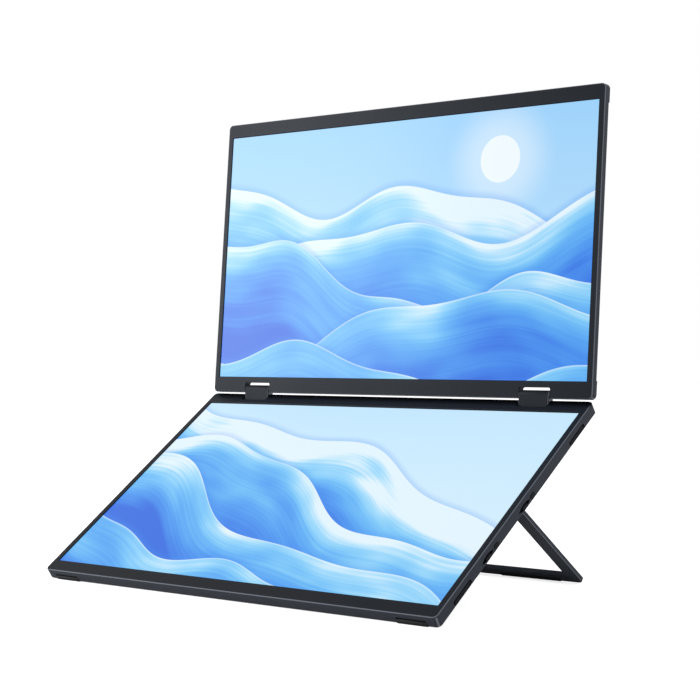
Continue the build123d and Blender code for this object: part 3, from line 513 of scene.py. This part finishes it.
node_materials = {
    "upper_display_glass": screen_material("upper_picture", UPPER_UP, UPPER_LIT_EDGE, UPPER_HILLS,
                                           SKY_HIGH, SKY_LOW, SUN_PLACE),
    "lower_display_glass": screen_material("lower_picture", LOWER_UP, LOWER_LIT_EDGE, LOWER_HILLS,
                                           SKY_LOW, SKY_PALE),
    "jog_lever_1": plain_material("jog_cap_1", LEVER_GREY, 0.5, specular=0.1),
    "jog_lever_2": plain_material("jog_cap_2", LEVER_GREY, 0.5, specular=0.1),
    # Painted shade: the recesses and holes in the side walls are turned black
    "lower_rear_cover": shell_material("lower_cover_anodised", SHELL_GREY, SIDEWAYS, EDGE_HIGHLIGHT_GREY,
                                       dark=shade_in_side_pockets),
    "upper_front_bezel": shell_material("upper_bezel_satin", BEZEL_GREY, UPPER_NORMAL, EDGE_HIGHLIGHT_GREY,
                                        BEZEL_ROUGH, 0.1, in_window(UPPER_UP, UPPER_LIT_EDGE)),
    # Painted shade: the lower bezel's strip under the upper panel is turned black
    "lower_front_bezel": shell_material("lower_bezel_satin", BEZEL_GREY, LOWER_NORMAL, EDGE_HIGHLIGHT_GREY,
                                        BEZEL_ROUGH, 0.09, in_window(LOWER_UP, LOWER_LIT_EDGE),
                                        shade_under_upper_panel),
}
for part in frame["record"]["subparts"]:
    name = part["node"]
    finish = node_materials.get(name) or slot_materials[part["material_slot"]]
    for place in nodes[name].material_slots:
        place.material = finish


# Edges that catch the light
ROUNDINGS = {
    "kickstand_frame": 0.4 * MM,
    "hinge_cover_left": 0.3 * MM,
    "hinge_cover_right": 0.3 * MM,
    "upper_rear_cover": 0.2 * MM,
    "lower_rear_cover": 0.2 * MM,
    "front_feet": 0.2 * MM,
    "kickstand_strips": 0.2 * MM,
    "side_inserts": 0.2 * MM,
}
WELD_REACH = 0.002 * MM
SHARP_ANGLE = math.radians(30.0)


def soften(name, width):
    """Small rounding along a node's sharp edges."""
    weld = nodes[name].modifiers.new("weld", "WELD")
    weld.merge_threshold = WELD_REACH
    bevel = nodes[name].modifiers.new("edge", "BEVEL")
    bevel.width = width
    bevel.segments = 2
    bevel.limit_method = "ANGLE"
    bevel.angle_limit = SHARP_ANGLE
    bevel.use_clamp_overlap = True
    bevel.harden_normals = True


for name, width in ROUNDINGS.items():
    soften(name, width)


# Floor, light and camera
FLOOR_SIZE = 12.0
FLOOR_DROP = 0.2 * MM
FLOOR_GREYS = ((0.9, 0.9, 0.9), (0.92, 0.92, 0.92))
FLOOR_GLOW = 0.75
PAPER_SCALE = 400.0
WORLD_LEVEL = 0.5
# Name, place, target, width and height, watts
SOFTBOXES = (
    ("key_light", (-0.95, -0.75, 0.5), (-0.05, 0, 0.2), (0.5, 0.7), 12.5),
    ("fill_light", (1.6, -0.5, 0.8), (0, 0, 0.1), (1.2, 1.2), 8.0),
    ("corner_light", (1.0, -1.25, 0.3), (0.1, 0, 0.1), (0.12, 0.7), 1.2),
)
CAMERA_PLACE = (0.7834, -0.9235, 0.1661)
CAMERA_YAW = math.radians(39.73)
LENS_MM = 87.46
SENSOR_MM = 36.0


def floor():
    """Pale seamless floor that keeps the object's shadow."""
    bpy.ops.mesh.primitive_plane_add(size=FLOOR_SIZE, location=(0, 0, -FLOOR_DROP))
    plane = bpy.context.object
    plane.name = "floor"
    graph = Graph("floor_paper")
    fine = graph.noise(PAPER_SCALE, 3.0)
    graph.set(Base_Color=graph.mix(fine, *FLOOR_GREYS), Roughness=0.9, Specular_IOR_Level=0.0,
              Emission_Color=rgba((1, 1, 1)))
    rays = graph.tree.nodes.new("ShaderNodeLightPath")
    graph.set(Emission_Strength=graph.multiply(rays.outputs["Is Camera Ray"], FLOOR_GLOW))
    plane.data.materials.append(graph.material)


def backdrop():
    """White all round for the camera, gloss and glass, and a soft level for the light it gives."""
    world = bpy.data.worlds.new("studio")
    world.use_nodes = True
    bpy.context.scene.world = world
    tree = world.node_tree
    rays = tree.nodes.new("ShaderNodeLightPath")
    seen = rays.outputs["Is Camera Ray"]
    for ray in ("Is Glossy Ray", "Is Transmission Ray"):
        either = tree.nodes.new("ShaderNodeMath")
        either.operation = "MAXIMUM"
        tree.links.new(seen, either.inputs[0])
        tree.links.new(rays.outputs[ray], either.inputs[1])
        seen = either.outputs[0]
    level = tree.nodes.new("ShaderNodeMapRange")
    level.inputs["To Min"].default_value = WORLD_LEVEL
    level.inputs["To Max"].default_value = 1.0
    tree.links.new(seen, level.inputs["Value"])
    background = tree.nodes["Background"]
    background.inputs["Color"].default_value = (1, 1, 1, 1)
    tree.links.new(level.outputs["Result"], background.inputs["Strength"])


def add_holder(name, data, place):
    """Object for a lamp or camera, in the scene at its place."""
    holder = bpy.data.objects.new(name, data)
    bpy.context.scene.collection.objects.link(holder)
    holder.location = place
    return holder


def softbox(name, place, target, size, watts):
    """Rectangular lamp that faces its target."""
    lamp = bpy.data.lights.new(name, "AREA")
    lamp.shape = "RECTANGLE"
    lamp.size, lamp.size_y = size
    lamp.energy = watts
    holder = add_holder(name, lamp, place)
    holder.rotation_euler = (Vector(target) - Vector(place)).to_track_quat("-Z", "Y").to_euler()


floor()
backdrop()
for lamp in SOFTBOXES:
    softbox(*lamp)

camera = bpy.data.cameras.new("photo_camera")
camera.lens = LENS_MM
camera.sensor_width = SENSOR_MM
viewer = add_holder("photo_camera", camera, CAMERA_PLACE)
viewer.rotation_euler = (math.radians(90), 0, CAMERA_YAW)
bpy.context.scene.camera = viewer
bpy.context.scene.view_settings.view_transform = "Standard"
